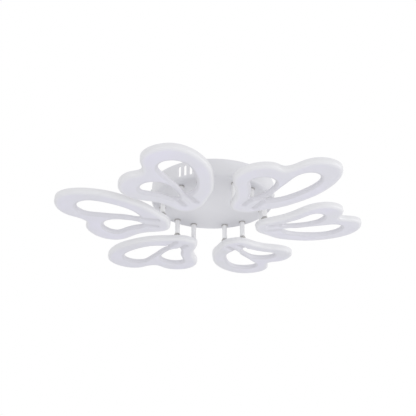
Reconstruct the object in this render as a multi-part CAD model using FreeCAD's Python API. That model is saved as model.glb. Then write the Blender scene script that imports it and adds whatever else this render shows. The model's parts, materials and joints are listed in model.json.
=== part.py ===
import FreeCAD, Part
import math
import os

Vector = FreeCAD.Vector
Rotation = FreeCAD.Rotation

# Sizes are in millimetres and degrees. The ceiling is the plane z = 0 and the lamp hangs below it.
# An azimuth is measured from +Y towards +X.

# Canopy pan
canopy_diameter = 250.0
canopy_depth = 38.0
canopy_sheet = 1.0
canopy_corner = 9.0

# Vent slots in the canopy's side, in groups
vent_width = 5.2
vent_length = 22.0
vent_below_rim = 8.0
vent_pitch = 12.0
vents_per_group = 3
vent_azimuths = [30.0, 210.0]

# Ceiling bracket, a strip along X with an ear bent down at each end
bracket_sheet = 2.0
bracket_width = 26.0
bracket_ear = 20.0
bracket_gap = 0.3
slot_spacing = 140.0
slot_length = 30.0
slot_width = 5.5

# Screws through the canopy's side into the bracket's ears
side_screw_diameter = 4.0
side_screw_length = 14.0
side_screw_head = 8.0
side_screw_head_height = 2.6
side_screw_below_rim = 12.0
screw_clearance = 0.25
thread_clearance = 0.05

# Hanger rods, two for each petal
rod_spacing = 41.0
rod_diameter = 10.0
rod_bore = 2.2
rod_drop = 36.6
rod_hole_clearance = 0.2
collar_diameter = 13.6
collar_height = 1.6
washer_diameter = 17.0
washer_height = 1.2
nut_across_flats = 14.0
nut_height = 4.0
rod_above_nut = 1.0

# Ball swivels between the rods and the petals
ball_diameter = 7.0
ball_clearance = 0.05
neck_diameter = 4.0
neck_length = 4.0
swivel_height = 2.2
cap_diameter = 13.4
cap_height = 4.3
cup_diameter = 9.2
cup_flange = 10.0
cup_flange_height = 0.8
cup_floor = 0.95

# Petals around the lamp: the tilt above level that each was set to by hand, and its hinge line's slope
petal_tilts = [2.0, 4.3, 6.9, 3.2, 1.1, 4.9]
hinge_slopes = [2.4, 1.8, 2.0, 2.9, 1.8, 4.1]
first_azimuth = -30.0
hinge_inset = 23.0

# Petal outline and its two openings: x along the hinge line, y outwards from it
petal_outline = [
    (4, -17), (-18, -11.5), (-40, 9), (-61, 31), (-82, 68), (-95, 108), (-97, 140), (-90, 176),
    (-70, 204), (-38, 213), (-9, 203), (5, 184), (13, 163), (22, 154), (40, 155), (72, 143),
    (89, 113), (84, 81), (55, 49.5), (39, 24), (28, -4), (18, -14.5),
]
large_opening = [
    (-17, 43), (-27, 46.5), (-41, 59), (-56, 88), (-64, 119), (-62, 151), (-45, 168), (-28, 168),
    (-14, 154), (-12, 128), (-13.5, 95), (-14, 62), (-13, 48),
]
small_opening = [
    (9, 36), (1, 45), (-2.5, 65), (-1, 88), (10, 111), (32, 118), (49, 108), (53.5, 95), (42, 78),
    (27, 60), (15.5, 41),
]

# Petal body: a sheet back plate on a deep diffuser whose openings are rounded above and below
plate_sheet = 1.0
diffuser_depth = 10.0
diffuser_wall = 2.5
diffuser_face = 2.5
outline_round = 4.6
opening_round = 4.7
plate_edge_gap = 1.8
plate_seat = 3.0

# Grooves in the diffuser's lower face, on from each opening's tip towards the root
groove_lines = [((-15.5, 43), (-17, 10)), ((10, 36), (8.5, 11))]
groove_width = 12.0
groove_depth = 4.0
groove_wall = 1.5

# Posts in the diffuser that take the plate's screws
post_places = [(0, 18), (-80, 118), (-40, 191), (6, 139), (71, 99)]
post_diameter = 6.0
plate_screw_diameter = 2.5
plate_screw_length = 7.0
plate_screw_head = 5.0
plate_screw_head_height = 1.6
post_clearance = 0.5

# LED board under the back plate and its chips
board_sheet = 1.2
board_margin = 8.0
board_rim_gap = 1.0
board_start = 9.0
chip_length = 3.5
chip_width = 2.8
chip_height = 0.8
chip_pitch = 13.0
chip_row = 16.5
chip_margin = 2.0

# LED driver in a round case on the canopy's floor
case_diameter = 88.0
case_height = 22.0
case_wall = 2.0
lid_height = 2.0
lid_lip = 3.0
lid_clearance = 0.2
case_ear = 12.0
case_ear_height = 3.0
driver_board_sheet = 1.6
driver_board_height = 11.6
driver_board_clearance = 1.0
driver_post_diameter = 6.0
driver_post_circle = 66.0
driver_posts = 3

# Parts on the driver board: length, width, height and place of the middle
driver_parts = [
    (22, 20, 7.4, -14, 0), (10, 10, 8.0, 14, 12), (10, 10, 8.0, 14, -12), (14, 6, 5.0, 0, 26),
]

# Terminal block and the studs welded to the canopy's floor
block_length = 40.0
block_width = 16.0
block_height = 14.0
block_y = -75.0
pole_pitch = 12.0
pole_screw_diameter = 4.4
pole_screw_above_wire = 0.1
pole_screw_row = 4.5
pole_screw_sunk = 0.5
screw_slot_width = 0.8
screw_slot_depth = 1.0
stud_diameter = 3.0
stud_clearance = 0.2
stud_above_nut = 1.0
stud_nut_across_flats = 5.5
stud_nut_height = 2.4
earth_y = -57.0
lug_diameter = 8.0
lug_height = 1.0
lug_tail = 5.0
earth_bend = 3.0

# Wires
lead_diameter = 1.6
lead_bend = 8.0
lead_start = 36.0
lead_clearance = 0.3
supply_lead_diameter = 2.4
supply_lead_height = 7.0
supply_lead_inside = 3.0

# Places that follow from the sizes above
canopy_radius = canopy_diameter / 2
canopy_inner_radius = canopy_radius - canopy_sheet
hinge_radius = canopy_radius - hinge_inset
canopy_bottom = -canopy_depth
canopy_floor = canopy_bottom + canopy_sheet
swivel_z = canopy_bottom - rod_drop
rod_top = canopy_floor + washer_height + nut_height + rod_above_nut
lead_z = rod_top + lead_bend
plate_top = -swivel_height
plate_under = plate_top - plate_sheet
diffuser_bottom = plate_under - diffuser_depth
diffuser_inside = diffuser_bottom + diffuser_face
board_under = plate_under - board_sheet
plate_setback = opening_round + plate_edge_gap
opening_rim = plate_setback + plate_seat
board_setback = opening_rim + board_rim_gap
socket_radius = ball_diameter / 2 + ball_clearance
petal_step = 360.0 / len(petal_tilts)
case_radius = case_diameter / 2
case_top = canopy_floor + case_height
block_top = canopy_floor + block_height
supply_lead_z = canopy_floor + supply_lead_height
pole_screw_bottom = supply_lead_z + supply_lead_diameter / 2 + pole_screw_above_wire
driver_board_under = canopy_floor + driver_board_height
driver_board_top = driver_board_under + driver_board_sheet
stud_circle = case_radius + case_ear / 2
block_stud_x = pole_pitch / 2
petal_openings = [large_opening, small_opening]

# How finely a moved curve is drawn, how near two places count as one, and the share of a wall's
# height that one of its two roundings may take
grown_points = 72
same_place = 1e-4
round_share = 0.48


def cylinder(diameter, z_low, z_high, x=0.0, y=0.0):
    return Part.makeCylinder(diameter / 2, z_high - z_low, Vector(x, y, z_low))


def rod_along_y(diameter, y_low, y_high, x, z):
    return Part.makeCylinder(diameter / 2, y_high - y_low, Vector(x, y_low, z), Vector(0, 1, 0))


def block(x_size, y_size, z_low, z_high, x=0.0, y=0.0):
    corner = Vector(x - x_size / 2, y - y_size / 2, z_low)
    return Part.makeBox(x_size, y_size, z_high - z_low, corner)


def hexagon(across_flats, z_low, z_high, x, y):
    corner_radius = across_flats / math.sqrt(3)
    corners = []
    for i in range(7):
        angle = math.radians(60 * i)
        reach = Vector(math.cos(angle), math.sin(angle), 0) * corner_radius
        corners.append(Vector(x, y, z_low) + reach)
    return Part.Face(Part.makePolygon(corners)).extrude(Vector(0, 0, z_high - z_low))


def upright_slot(width, length, depth):
    # A slot with round ends in the XZ plane, middle at the origin, cut along Y
    straight = length - width
    cutter = Part.makeBox(width, depth, straight, Vector(-width / 2, -depth / 2, -straight / 2))
    for end in (-1, 1):
        start = Vector(0, -depth / 2, end * straight / 2)
        cutter = cutter.fuse(Part.makeCylinder(width / 2, depth, start, Vector(0, 1, 0)))
    return cutter


def turned(shape, azimuth):
    copy = shape.copy()
    copy.rotate(Vector(0, 0, 0), Vector(0, 0, 1), -azimuth)
    return copy


def closed_curve(points):
    curve = Part.BSplineCurve()
    curve.interpolate(Points=points, PeriodicFlag=True)
    return curve


def smooth_loop(places, grow=0.0):
    # A closed smooth curve through places listed clockwise, moved outwards by grow
    curve = closed_curve([Vector(x, y, 0) for x, y in places])
    if grow:
        step = (curve.LastParameter - curve.FirstParameter) / grown_points
        moved = []
        for i in range(grown_points):
            parameter = curve.FirstParameter + step * i
            along = curve.tangent(parameter)[0]
            moved.append(curve.value(parameter) + Vector(-along.y, along.x, 0) * grow)
        curve = closed_curve(moved)
    return Part.Wire([curve.toShape()])


def extruded(loop, z_low, z_high):
    solid = Part.Face(loop).extrude(Vector(0, 0, z_high - z_low))
    solid.translate(Vector(0, 0, z_low))
    return solid


def petal_slab(margin, setback, z_low, z_high):
    # The petal between two heights, drawn in by the margin at its outline and set back at its openings
    slab = extruded(smooth_loop(petal_outline, -margin), z_low, z_high)
    for opening in petal_openings:
        slab = slab.cut(extruded(smooth_loop(opening, setback), z_low, z_high))
    return slab


def channel(ends, width, z_low, z_high):
    # An upright slab with round ends along a line
    start, end = [Vector(x, y, z_low) for x, y in ends]
    along = end - start
    rise = Vector(0, 0, z_high - z_low)
    across = Vector(-along.y, along.x, 0).normalize() * width / 2
    corners = [start + across, end + across, end - across, start - across, start + across]
    slab = Part.Face(Part.makePolygon(corners)).extrude(rise)
    for place in (start, end):
        slab = slab.fuse(cylinder(width, z_low, z_high, place.x, place.y))
    return slab


def edges_at(shape, z):
    return [edge for edge in shape.Edges if edge.BoundBox.ZMax < z + same_place]


def opening_edges(shape):
    # The upper and lower edge of each opening, which are the shortest closed ones
    closed = sorted((edge for edge in shape.Edges if edge.isClosed()), key=lambda edge: edge.Length)
    return closed[:2 * len(petal_openings)]


def rod_places():
    return [-rod_spacing / 2, rod_spacing / 2]


def make_diffuser():
    body = extruded(smooth_loop(petal_outline), diffuser_bottom, plate_under)
    body = body.makeFillet(outline_round, edges_at(body, diffuser_bottom))
    for opening in petal_openings:
        body = body.cut(extruded(smooth_loop(opening), diffuser_bottom, plate_under))
    body = body.makeFillet(min(opening_round, diffuser_depth * round_share), opening_edges(body))
    hollow = petal_slab(diffuser_wall, opening_rim, diffuser_inside, plate_under)
    groove_top = diffuser_bottom + groove_depth
    for line in groove_lines:
        roof = channel(line, groove_width + 2 * groove_wall, diffuser_inside, groove_top + groove_wall)
        hollow = hollow.cut(roof)
    body = body.cut(hollow)
    for line in groove_lines:
        body = body.cut(channel(line, groove_width, diffuser_bottom, groove_top))
    for x, y in post_places:
        body = body.fuse(cylinder(post_diameter, diffuser_inside - diffuser_face / 2, plate_under, x, y))
    hole_bottom = plate_top - plate_screw_length - post_clearance
    for x, y in post_places:
        hole = plate_screw_diameter + 2 * thread_clearance
        body = body.cut(cylinder(hole, hole_bottom, plate_under, x, y))
    return body.removeSplitter()


def make_back_plate():
    plate = petal_slab(0, plate_setback, plate_under, plate_top)
    for x in rod_places():
        plate = plate.cut(cylinder(cup_diameter + 2 * thread_clearance, plate_under, plate_top, x))
    for x, y in post_places:
        hole = plate_screw_diameter + 2 * screw_clearance
        plate = plate.cut(cylinder(hole, plate_under, plate_top, x, y))
    return plate


def make_plate_screws():
    screws = []
    for x, y in post_places:
        screw = cylinder(plate_screw_diameter, plate_top - plate_screw_length, plate_top, x, y)
        head = cylinder(plate_screw_head, plate_top, plate_top + plate_screw_head_height, x, y)
        screws.append(screw.fuse(head))
    return Part.makeCompound(screws)


def make_led_board():
    board = petal_slab(board_margin, board_setback, board_under, plate_under)
    root_end = -min(y for x, y in petal_outline) + board_start
    root_width = 2 * max(abs(x) for x, y in petal_outline)
    root = block(root_width, 2 * root_end, board_under, plate_under, 0, board_start - root_end)
    board = board.cut(root)
    for x, y in post_places:
        board = board.cut(cylinder(post_diameter + 2 * post_clearance, board_under, plate_under, x, y))
    return board


def make_led_chips(board):
    # Rows of chips around the two openings, wherever the board is wide enough
    board_middle = (board_under + plate_under) / 2
    half_length = chip_length / 2 + chip_margin
    half_width = chip_width / 2 + chip_margin
    post_reach = post_diameter / 2 + post_clearance + math.hypot(half_length, half_width)
    posts = [Vector(x, y, 0) for x, y in post_places]
    chips = []
    for opening in petal_openings:
        row = smooth_loop(opening, chip_row)
        steps = int(row.Length / chip_pitch)
        points = row.discretize(Number=steps + 1)
        for i in range(steps):
            along = (points[i + 1] - points[i - 1 if i else steps - 1]).normalize()
            across = Vector(-along.y, along.x, 0)
            corners = []
            for a in (-half_length, half_length):
                for b in (-half_width, half_width):
                    corners.append(points[i] + along * a + across * b + Vector(0, 0, board_middle))
            fits = all(board.isInside(corner, same_place, True) for corner in corners)
            apart = all((points[i] - chip["middle"]).Length > chip_pitch / 2 for chip in chips)
            clear = all((points[i] - post).Length > post_reach for post in posts)
            if fits and apart and clear:
                chips.append({"middle": points[i], "along": along})
    solids = []
    for chip in chips:
        solid = block(chip_length, chip_width, board_under - chip_height, board_under)
        angle = math.degrees(math.atan2(chip["along"].y, chip["along"].x))
        solid.rotate(Vector(0, 0, 0), Vector(0, 0, 1), angle)
        solid.translate(chip["middle"])
        solids.append(solid)
    return Part.makeCompound(solids)


def make_swivel_sockets():
    solids = []
    for x in rod_places():
        ball_room = Part.makeSphere(socket_radius, Vector(x, 0, 0))
        cup_bottom = -socket_radius - cup_floor
        cup = cylinder(cup_diameter, cup_bottom, 0, x)
        cup = cup.fuse(cylinder(cup_flange, plate_under - cup_flange_height, plate_under, x))
        cup = cup.cut(ball_room).cut(cylinder(rod_bore, cup_bottom, 0, x))
        cap = cylinder(cap_diameter, plate_top, plate_top + cap_height, x)
        cap = cap.cut(cylinder(cup_diameter + 2 * thread_clearance, plate_top, 0, x)).cut(ball_room)
        solids += [cup, cap]
    return Part.makeCompound(solids)


def petal_rotation(index, tilt):
    around = Rotation(Vector(0, 0, 1), -(first_azimuth + petal_step * index))
    slope = Rotation(Vector(0, 1, 0), hinge_slopes[index])
    return around.multiply(slope).multiply(Rotation(Vector(1, 0, 0), tilt))


def petal_place(index, tilt):
    azimuth = math.radians(first_azimuth + petal_step * index)
    middle = Vector(hinge_radius * math.sin(azimuth), hinge_radius * math.cos(azimuth), swivel_z)
    return FreeCAD.Placement(middle, petal_rotation(index, tilt))


def placed(shape, placement):
    copy = shape.copy()
    copy.Placement = placement.multiply(copy.Placement)
    return copy


def ball_centres(index):
    placement = petal_place(index, petal_tilts[index])
    return [placement.multVec(Vector(x, 0, 0)) for x in rod_places()]


def make_rod(centre):
    rod = cylinder(rod_diameter, centre.z + neck_length, rod_top, centre.x, centre.y)
    rod = rod.fuse(cylinder(neck_diameter, centre.z, centre.z + neck_length, centre.x, centre.y))
    rod = rod.fuse(Part.makeSphere(ball_diameter / 2, centre))
    return rod.cut(cylinder(rod_bore, centre.z - ball_diameter, rod_top, centre.x, centre.y))


all_ball_centres = [centre for index in range(len(petal_tilts)) for centre in ball_centres(index)]


def make_rod_collars():
    bore = rod_diameter + 2 * thread_clearance
    collars = []
    for centre in all_ball_centres:
        low = canopy_bottom - collar_height
        collar = cylinder(collar_diameter, low, canopy_bottom, centre.x, centre.y)
        collars.append(collar.cut(cylinder(bore, low, canopy_bottom, centre.x, centre.y)))
    return Part.makeCompound(collars)


def make_rod_washers():
    washers = []
    for centre in all_ball_centres:
        high = canopy_floor + washer_height
        washer = cylinder(washer_diameter, canopy_floor, high, centre.x, centre.y)
        bore = rod_diameter + 2 * rod_hole_clearance
        washers.append(washer.cut(cylinder(bore, canopy_floor, high, centre.x, centre.y)))
    return Part.makeCompound(washers)


def make_rod_nuts():
    nuts = []
    for centre in all_ball_centres:
        low = canopy_floor + washer_height
        nut = hexagon(nut_across_flats, low, low + nut_height, centre.x, centre.y)
        bore = rod_diameter + 2 * thread_clearance
        nuts.append(nut.cut(cylinder(bore, low, low + nut_height, centre.x, centre.y)))
    return Part.makeCompound(nuts)


# Studs on the canopy's floor: place and height of what each one clamps
floor_studs = [
    (-stud_circle, 0.0, case_ear_height), (stud_circle, 0.0, case_ear_height),
    (-block_stud_x, block_y, block_height), (block_stud_x, block_y, block_height),
    (0.0, earth_y, lug_height),
]


def make_canopy():
    outer = cylinder(canopy_diameter, canopy_bottom, 0)
    outer = outer.makeFillet(canopy_corner, edges_at(outer, canopy_bottom))
    inner = cylinder(2 * canopy_inner_radius, canopy_floor, 0)
    inner = inner.makeFillet(canopy_corner - canopy_sheet, edges_at(inner, canopy_floor))
    pan = outer.cut(inner)
    slot = upright_slot(vent_width, vent_length, 4 * canopy_sheet)
    slot.translate(Vector(0, canopy_radius - canopy_sheet / 2, -vent_below_rim - vent_length / 2))
    pitch_angle = math.degrees(vent_pitch / canopy_radius)
    for azimuth in vent_azimuths:
        for i in range(vents_per_group):
            pan = pan.cut(turned(slot, azimuth + pitch_angle * (i - (vents_per_group - 1) / 2)))
    for centre in all_ball_centres:
        hole = rod_diameter + 2 * rod_hole_clearance
        pan = pan.cut(cylinder(hole, canopy_bottom, canopy_floor, centre.x, centre.y))
    for x in (-canopy_radius, canopy_inner_radius - canopy_sheet):
        start = Vector(x, 0, -side_screw_below_rim)
        hole_radius = side_screw_diameter / 2 + screw_clearance
        pan = pan.cut(Part.makeCylinder(hole_radius, 2 * canopy_sheet, start, Vector(1, 0, 0)))
    for x, y, clamped in floor_studs:
        stud_top = canopy_floor + clamped + stud_nut_height + stud_above_nut
        pan = pan.fuse(cylinder(stud_diameter, canopy_floor, stud_top, x, y))
    return pan


def make_stud_nuts():
    nuts = []
    for x, y, clamped in floor_studs:
        low = canopy_floor + clamped
        nut = hexagon(stud_nut_across_flats, low, low + stud_nut_height, x, y)
        bore = stud_diameter + 2 * thread_clearance
        nuts.append(nut.cut(cylinder(bore, low, low + stud_nut_height, x, y)))
    return Part.makeCompound(nuts)


def ear_face():
    # How far from the middle the ears' outer faces stand, clear of the round wall at their corners
    return math.sqrt(canopy_inner_radius ** 2 - (bracket_width / 2) ** 2) - bracket_gap


def make_bracket():
    bracket = block(2 * ear_face(), bracket_width, -bracket_sheet, 0)
    for side in (-1, 1):
        x = side * (ear_face() - bracket_sheet / 2)
        bracket = bracket.fuse(block(bracket_sheet, bracket_width, -bracket_ear, 0, x))
        start = Vector(x - bracket_sheet, 0, -side_screw_below_rim)
        hole_radius = side_screw_diameter / 2 + thread_clearance
        bracket = bracket.cut(Part.makeCylinder(hole_radius, 2 * bracket_sheet, start, Vector(1, 0, 0)))
        straight = slot_length - slot_width
        middle = side * slot_spacing / 2
        bracket = bracket.cut(block(straight, slot_width, -bracket_sheet, 0, middle))
        for end in (-1, 1):
            bracket = bracket.cut(cylinder(slot_width, -bracket_sheet, 0, middle + end * straight / 2))
    return bracket.removeSplitter()


def make_canopy_screws():
    screws = []
    for side in (-1, 1):
        outwards = Vector(side, 0, 0)
        seat = Vector(side * canopy_radius, 0, -side_screw_below_rim)
        screw = Part.makeCylinder(side_screw_diameter / 2, side_screw_length, seat, outwards * -1)
        head = Part.makeCylinder(side_screw_head / 2, side_screw_head_height, seat, outwards)
        screws.append(screw.fuse(head))
    return Part.makeCompound(screws)


def lead_azimuth(index):
    centre = all_ball_centres[2 * index + 1]
    return math.degrees(math.atan2(centre.x, centre.y))


def supply_lead_places():
    return [-pole_pitch, pole_pitch]


def driver_post_middles():
    places = []
    for i in range(driver_posts):
        angle = math.radians(90 + 360 * i / driver_posts)
        radius = driver_post_circle / 2
        places.append((radius * math.cos(angle), radius * math.sin(angle)))
    return places


def make_driver_case():
    case = cylinder(case_diameter, canopy_floor, case_top)
    for side in (-1, 1):
        x = side * stud_circle
        ear_top = canopy_floor + case_ear_height
        ear = cylinder(case_ear, canopy_floor, ear_top, x)
        arm = block(case_ear, case_ear, canopy_floor, ear_top, x - side * case_ear / 2)
        case = case.fuse(ear.fuse(arm))
    case = case.cut(cylinder(case_diameter - 2 * case_wall, canopy_floor + case_wall, case_top))
    for side in (-1, 1):
        hole = stud_diameter + 2 * stud_clearance
        case = case.cut(cylinder(hole, canopy_floor, canopy_floor + case_ear_height, side * stud_circle))
    for x, y in driver_post_middles():
        case = case.fuse(cylinder(driver_post_diameter, canopy_floor, driver_board_under, x, y))
    lead_hole = lead_diameter + 2 * lead_clearance
    lead_cutter = rod_along_y(lead_hole, case_radius - 2 * case_wall, case_radius, 0, lead_z)
    for index in range(len(petal_tilts)):
        case = case.cut(turned(lead_cutter, lead_azimuth(index)))
    for x in supply_lead_places():
        hole = supply_lead_diameter + 2 * lead_clearance
        case = case.cut(rod_along_y(hole, -case_radius, 0, x, supply_lead_z))
    return case.removeSplitter()


def make_driver_lid():
    lid = cylinder(case_diameter, case_top, case_top + lid_height)
    lip_diameter = case_diameter - 2 * case_wall - 2 * lid_clearance
    lip = cylinder(lip_diameter, case_top - lid_lip, case_top)
    lip = lip.cut(cylinder(lip_diameter - 2 * case_wall, case_top - lid_lip, case_top))
    return lid.fuse(lip)


def make_driver_board():
    diameter = case_diameter - 2 * case_wall - 2 * driver_board_clearance
    return cylinder(diameter, driver_board_under, driver_board_top)


def make_driver_parts():
    solids = []
    for length, width, height, x, y in driver_parts:
        solids.append(block(length, width, driver_board_top, driver_board_top + height, x, y))
    return Part.makeCompound(solids)


def pole_places():
    return [-pole_pitch, 0.0, pole_pitch]


def make_terminal_block():
    body = block(block_length, block_width, canopy_floor, block_top, 0, block_y)
    for x in pole_places():
        hole = supply_lead_diameter + 2 * lead_clearance
        low, high = block_y - block_width / 2, block_y + block_width / 2
        body = body.cut(rod_along_y(hole, low, high, x, supply_lead_z))
        for y in (block_y - pole_screw_row, block_y + pole_screw_row):
            well = pole_screw_diameter + 2 * thread_clearance
            body = body.cut(cylinder(well, pole_screw_bottom, block_top, x, y))
    for x in (-block_stud_x, block_stud_x):
        body = body.cut(cylinder(stud_diameter + 2 * stud_clearance, canopy_floor, block_top, x, block_y))
    return body


def make_terminal_screws():
    screws = []
    for x in pole_places():
        for y in (block_y - pole_screw_row, block_y + pole_screw_row):
            top = block_top - pole_screw_sunk
            screw = cylinder(pole_screw_diameter, pole_screw_bottom, top, x, y)
            slot = block(2 * pole_screw_diameter, screw_slot_width, top - screw_slot_depth, top, x, y)
            screws.append(screw.cut(slot))
    return Part.makeCompound(screws)


def make_supply_leads():
    # Two wires from the terminal block's middle into the driver's case
    leads = []
    for x in supply_lead_places():
        case_wall_y = -math.sqrt((case_radius - case_wall) ** 2 - x * x)
        end_y = case_wall_y + supply_lead_inside
        leads.append(rod_along_y(supply_lead_diameter, block_y, end_y, x, supply_lead_z))
    return Part.makeCompound(leads)


def wire_along(points, bend_middle, diameter):
    # A round wire in a plane: a straight run, a bend through its middle and a second straight run
    start, bend_start, bend_end, end = points
    path = Part.Wire([
        Part.LineSegment(start, bend_start).toShape(),
        Part.Arc(bend_start, bend_middle, bend_end).toShape(),
        Part.LineSegment(bend_end, end).toShape(),
    ])
    section = Part.Wire([Part.Circle(start, bend_start - start, diameter / 2).toShape()])
    return path.makePipeShell([section], True, False)


def wire_over_and_down(y_start, y_end, z_start, z_end, bend, diameter):
    # A wire that runs along +Y, bends and goes straight down
    half = bend * math.sqrt(0.5)
    points = [
        Vector(0, y_start, z_start), Vector(0, y_end - bend, z_start),
        Vector(0, y_end, z_start - bend), Vector(0, y_end, z_end),
    ]
    return wire_along(points, Vector(0, y_end - bend + half, z_start - bend + half), diameter)


def make_earth_lead():
    # A wire from the block's middle pole down to a lug on the earth stud
    lug_top = canopy_floor + lug_height
    down_y = block_y + block_width / 2 + earth_bend
    tail_length = earth_y - down_y + lug_tail / 2
    tail_middle = earth_y - tail_length / 2
    lug = cylinder(lug_diameter, canopy_floor, lug_top, 0, earth_y)
    lug = lug.fuse(block(lug_tail, tail_length, canopy_floor, lug_top, 0, tail_middle))
    lug = lug.cut(cylinder(stud_diameter + 2 * stud_clearance, canopy_floor, lug_top, 0, earth_y))
    end_z = lug_top - lug_height / 2
    wire = wire_over_and_down(block_y, down_y, supply_lead_z, end_z, earth_bend, supply_lead_diameter)
    return lug.fuse(wire)


def make_petal_leads():
    # One wire for each petal: straight out of the driver, over and down into the petal's second rod
    leads = []
    for index in range(len(petal_tilts)):
        centre = all_ball_centres[2 * index + 1]
        reach = math.hypot(centre.x, centre.y)
        lead = wire_over_and_down(lead_start, reach, lead_z, centre.z, lead_bend, lead_diameter)
        leads.append(turned(lead, lead_azimuth(index)))
    return Part.makeCompound(leads)


os.makedirs("parts", exist_ok=True)


def write(name, shape):
    shape.exportStep("parts/" + name + ".step")


write("canopy", make_canopy())
write("ceiling_bracket", make_bracket())
write("canopy_screws", make_canopy_screws())
write("driver_case", make_driver_case())
write("driver_lid", make_driver_lid())
write("driver_board", make_driver_board())
write("driver_components", make_driver_parts())
write("terminal_block", make_terminal_block())
write("terminal_screws", make_terminal_screws())
write("supply_leads", make_supply_leads())
write("earth_lead", make_earth_lead())
write("stud_nuts", make_stud_nuts())
write("rod_collars", make_rod_collars())
write("rod_washers", make_rod_washers())
write("rod_nuts", make_rod_nuts())
write("petal_leads", make_petal_leads())

led_board = make_led_board()
petal_pieces = {
    "diffuser": make_diffuser(),
    "back_plate": make_back_plate(),
    "plate_screws": make_plate_screws(),
    "led_board": led_board,
    "led_chips": make_led_chips(led_board),
    "swivel_sockets": make_swivel_sockets(),
}
for petal, tilt_above_level in enumerate(petal_tilts):
    prefix = "petal_" + str(petal + 1) + "_"
    for piece, shape in petal_pieces.items():
        write(prefix + piece, placed(shape, petal_place(petal, tilt_above_level)))
    write(prefix + "rods", Part.makeCompound([make_rod(centre) for centre in ball_centres(petal)]))
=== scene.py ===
import json
import math

import bmesh
import bpy
import numpy as np
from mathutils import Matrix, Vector
from mathutils.geometry import delaunay_2d_cdt


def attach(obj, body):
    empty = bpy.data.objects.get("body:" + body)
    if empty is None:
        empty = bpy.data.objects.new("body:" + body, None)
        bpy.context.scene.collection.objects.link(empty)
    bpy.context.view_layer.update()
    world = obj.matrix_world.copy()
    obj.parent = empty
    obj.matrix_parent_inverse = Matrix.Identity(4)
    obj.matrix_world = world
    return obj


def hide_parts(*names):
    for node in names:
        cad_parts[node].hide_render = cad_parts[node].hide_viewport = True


mm = 0.001
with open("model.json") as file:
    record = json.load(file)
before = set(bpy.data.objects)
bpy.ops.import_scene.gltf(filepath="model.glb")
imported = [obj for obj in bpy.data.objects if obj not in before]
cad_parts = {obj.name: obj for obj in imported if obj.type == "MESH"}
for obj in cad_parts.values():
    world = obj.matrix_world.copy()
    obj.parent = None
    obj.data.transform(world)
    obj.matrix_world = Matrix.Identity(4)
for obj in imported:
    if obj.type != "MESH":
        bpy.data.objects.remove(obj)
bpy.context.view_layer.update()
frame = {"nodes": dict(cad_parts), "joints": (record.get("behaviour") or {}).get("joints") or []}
joints = {joint["child"]: joint for joint in frame["joints"]}
petals = sorted(joints)
print("frame:", len(frame["nodes"]), "nodes,", len(petals), "petals")

# The lamp hangs from the plane z = 0 and is seen from below
viewpoint = {
    "place": (-0.1244, -1.4748, -0.756),
    "heading": 4.43,  # degrees from +Y towards +X
    "rise": 25.66,  # degrees above level
    "focalPixels": 807.0,
    "imagePixels": 416.0,
    "sensor": 36.0,
    "farthest": 200.0,
}


def makeCamera():
    data = bpy.data.cameras.new("photoCamera")
    data.sensor_width = viewpoint["sensor"]
    data.lens = viewpoint["sensor"] * viewpoint["focalPixels"] / viewpoint["imagePixels"]
    data.clip_end = viewpoint["farthest"]
    camera = bpy.data.objects.new("photoCamera", data)
    bpy.context.scene.collection.objects.link(camera)
    camera.location = viewpoint["place"]
    tilt, turn = math.radians(90 + viewpoint["rise"]), math.radians(viewpoint["heading"])
    camera.rotation_euler = (tilt, 0, -turn)
    bpy.context.scene.camera = camera


makeCamera()
print("camera ready")


# Studio: white surroundings, a pale floor at room height below, and large soft lamps
studio = {
    "floorDepth": -2.4,
    "floorHalf": 60.0,
    "floorColor": (0.86, 0.86, 0.87, 1),
    "floorRough": 0.9,
    "worldLight": 1.0,
    "lamps": [
        # name, place, aimed at, width, height, watts
        ("topPanel", (0, -0.1, 2.2), (0, 0, 0), 2.4, 2.4, 3.0),
        ("backPanel", (0, 1.6, 1.8), (0, 0, -0.06), 2.0, 1.4, 6.0),
        ("leftPanel", (-1.3, -2.1, -1.2), (0, 0, -0.06), 2.0, 1.4, 10.0),
        ("frontPanel", (0.6, -2.0, -0.9), (0, 0, -0.06), 2.0, 0.6, 5.0),
        ("rightPanel", (2.4, -0.2, -0.5), (0, 0, -0.06), 2.0, 0.5, 14.0),
        ("floorPanel", (0, 2.2, -0.9), (0, 2.2, -2.4), 2.4, 2.0, 18.0),  # comes back from the floor
    ],
}


def makeWorld():
    world = bpy.data.worlds.new("whiteRoom")
    world.use_nodes = True
    nodes, links = world.node_tree.nodes, world.node_tree.links
    nodes.clear()
    light = nodes.new("ShaderNodeBackground")
    light.inputs["Strength"].default_value = studio["worldLight"]
    shown = nodes.new("ShaderNodeBackground")
    shown.inputs["Color"].default_value = (1, 1, 1, 1)
    path = nodes.new("ShaderNodeLightPath")
    most = path.outputs["Is Camera Ray"]
    for ray in ("Is Glossy Ray", "Is Transmission Ray"):
        larger = nodes.new("ShaderNodeMath")
        larger.operation = "MAXIMUM"
        links.new(most, larger.inputs[0])
        links.new(path.outputs[ray], larger.inputs[1])
        most = larger.outputs[0]
    mix = nodes.new("ShaderNodeMixShader")
    out = nodes.new("ShaderNodeOutputWorld")
    links.new(most, mix.inputs[0])
    links.new(light.outputs[0], mix.inputs[1])
    links.new(shown.outputs[0], mix.inputs[2])
    links.new(mix.outputs[0], out.inputs["Surface"])
    bpy.context.scene.world = world


def makeLamps():
    for name, place, target, width, height, watts in studio["lamps"]:
        data = bpy.data.lights.new(name, "AREA")
        data.shape = "RECTANGLE"
        data.size, data.size_y = width, height
        data.energy = watts
        lamp = bpy.data.objects.new(name, data)
        bpy.context.scene.collection.objects.link(lamp)
        lamp.location = place
        lamp.visible_camera = False
        lamp.rotation_euler = (Vector(target) - Vector(place)).to_track_quat("-Z", "Y").to_euler()


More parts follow.
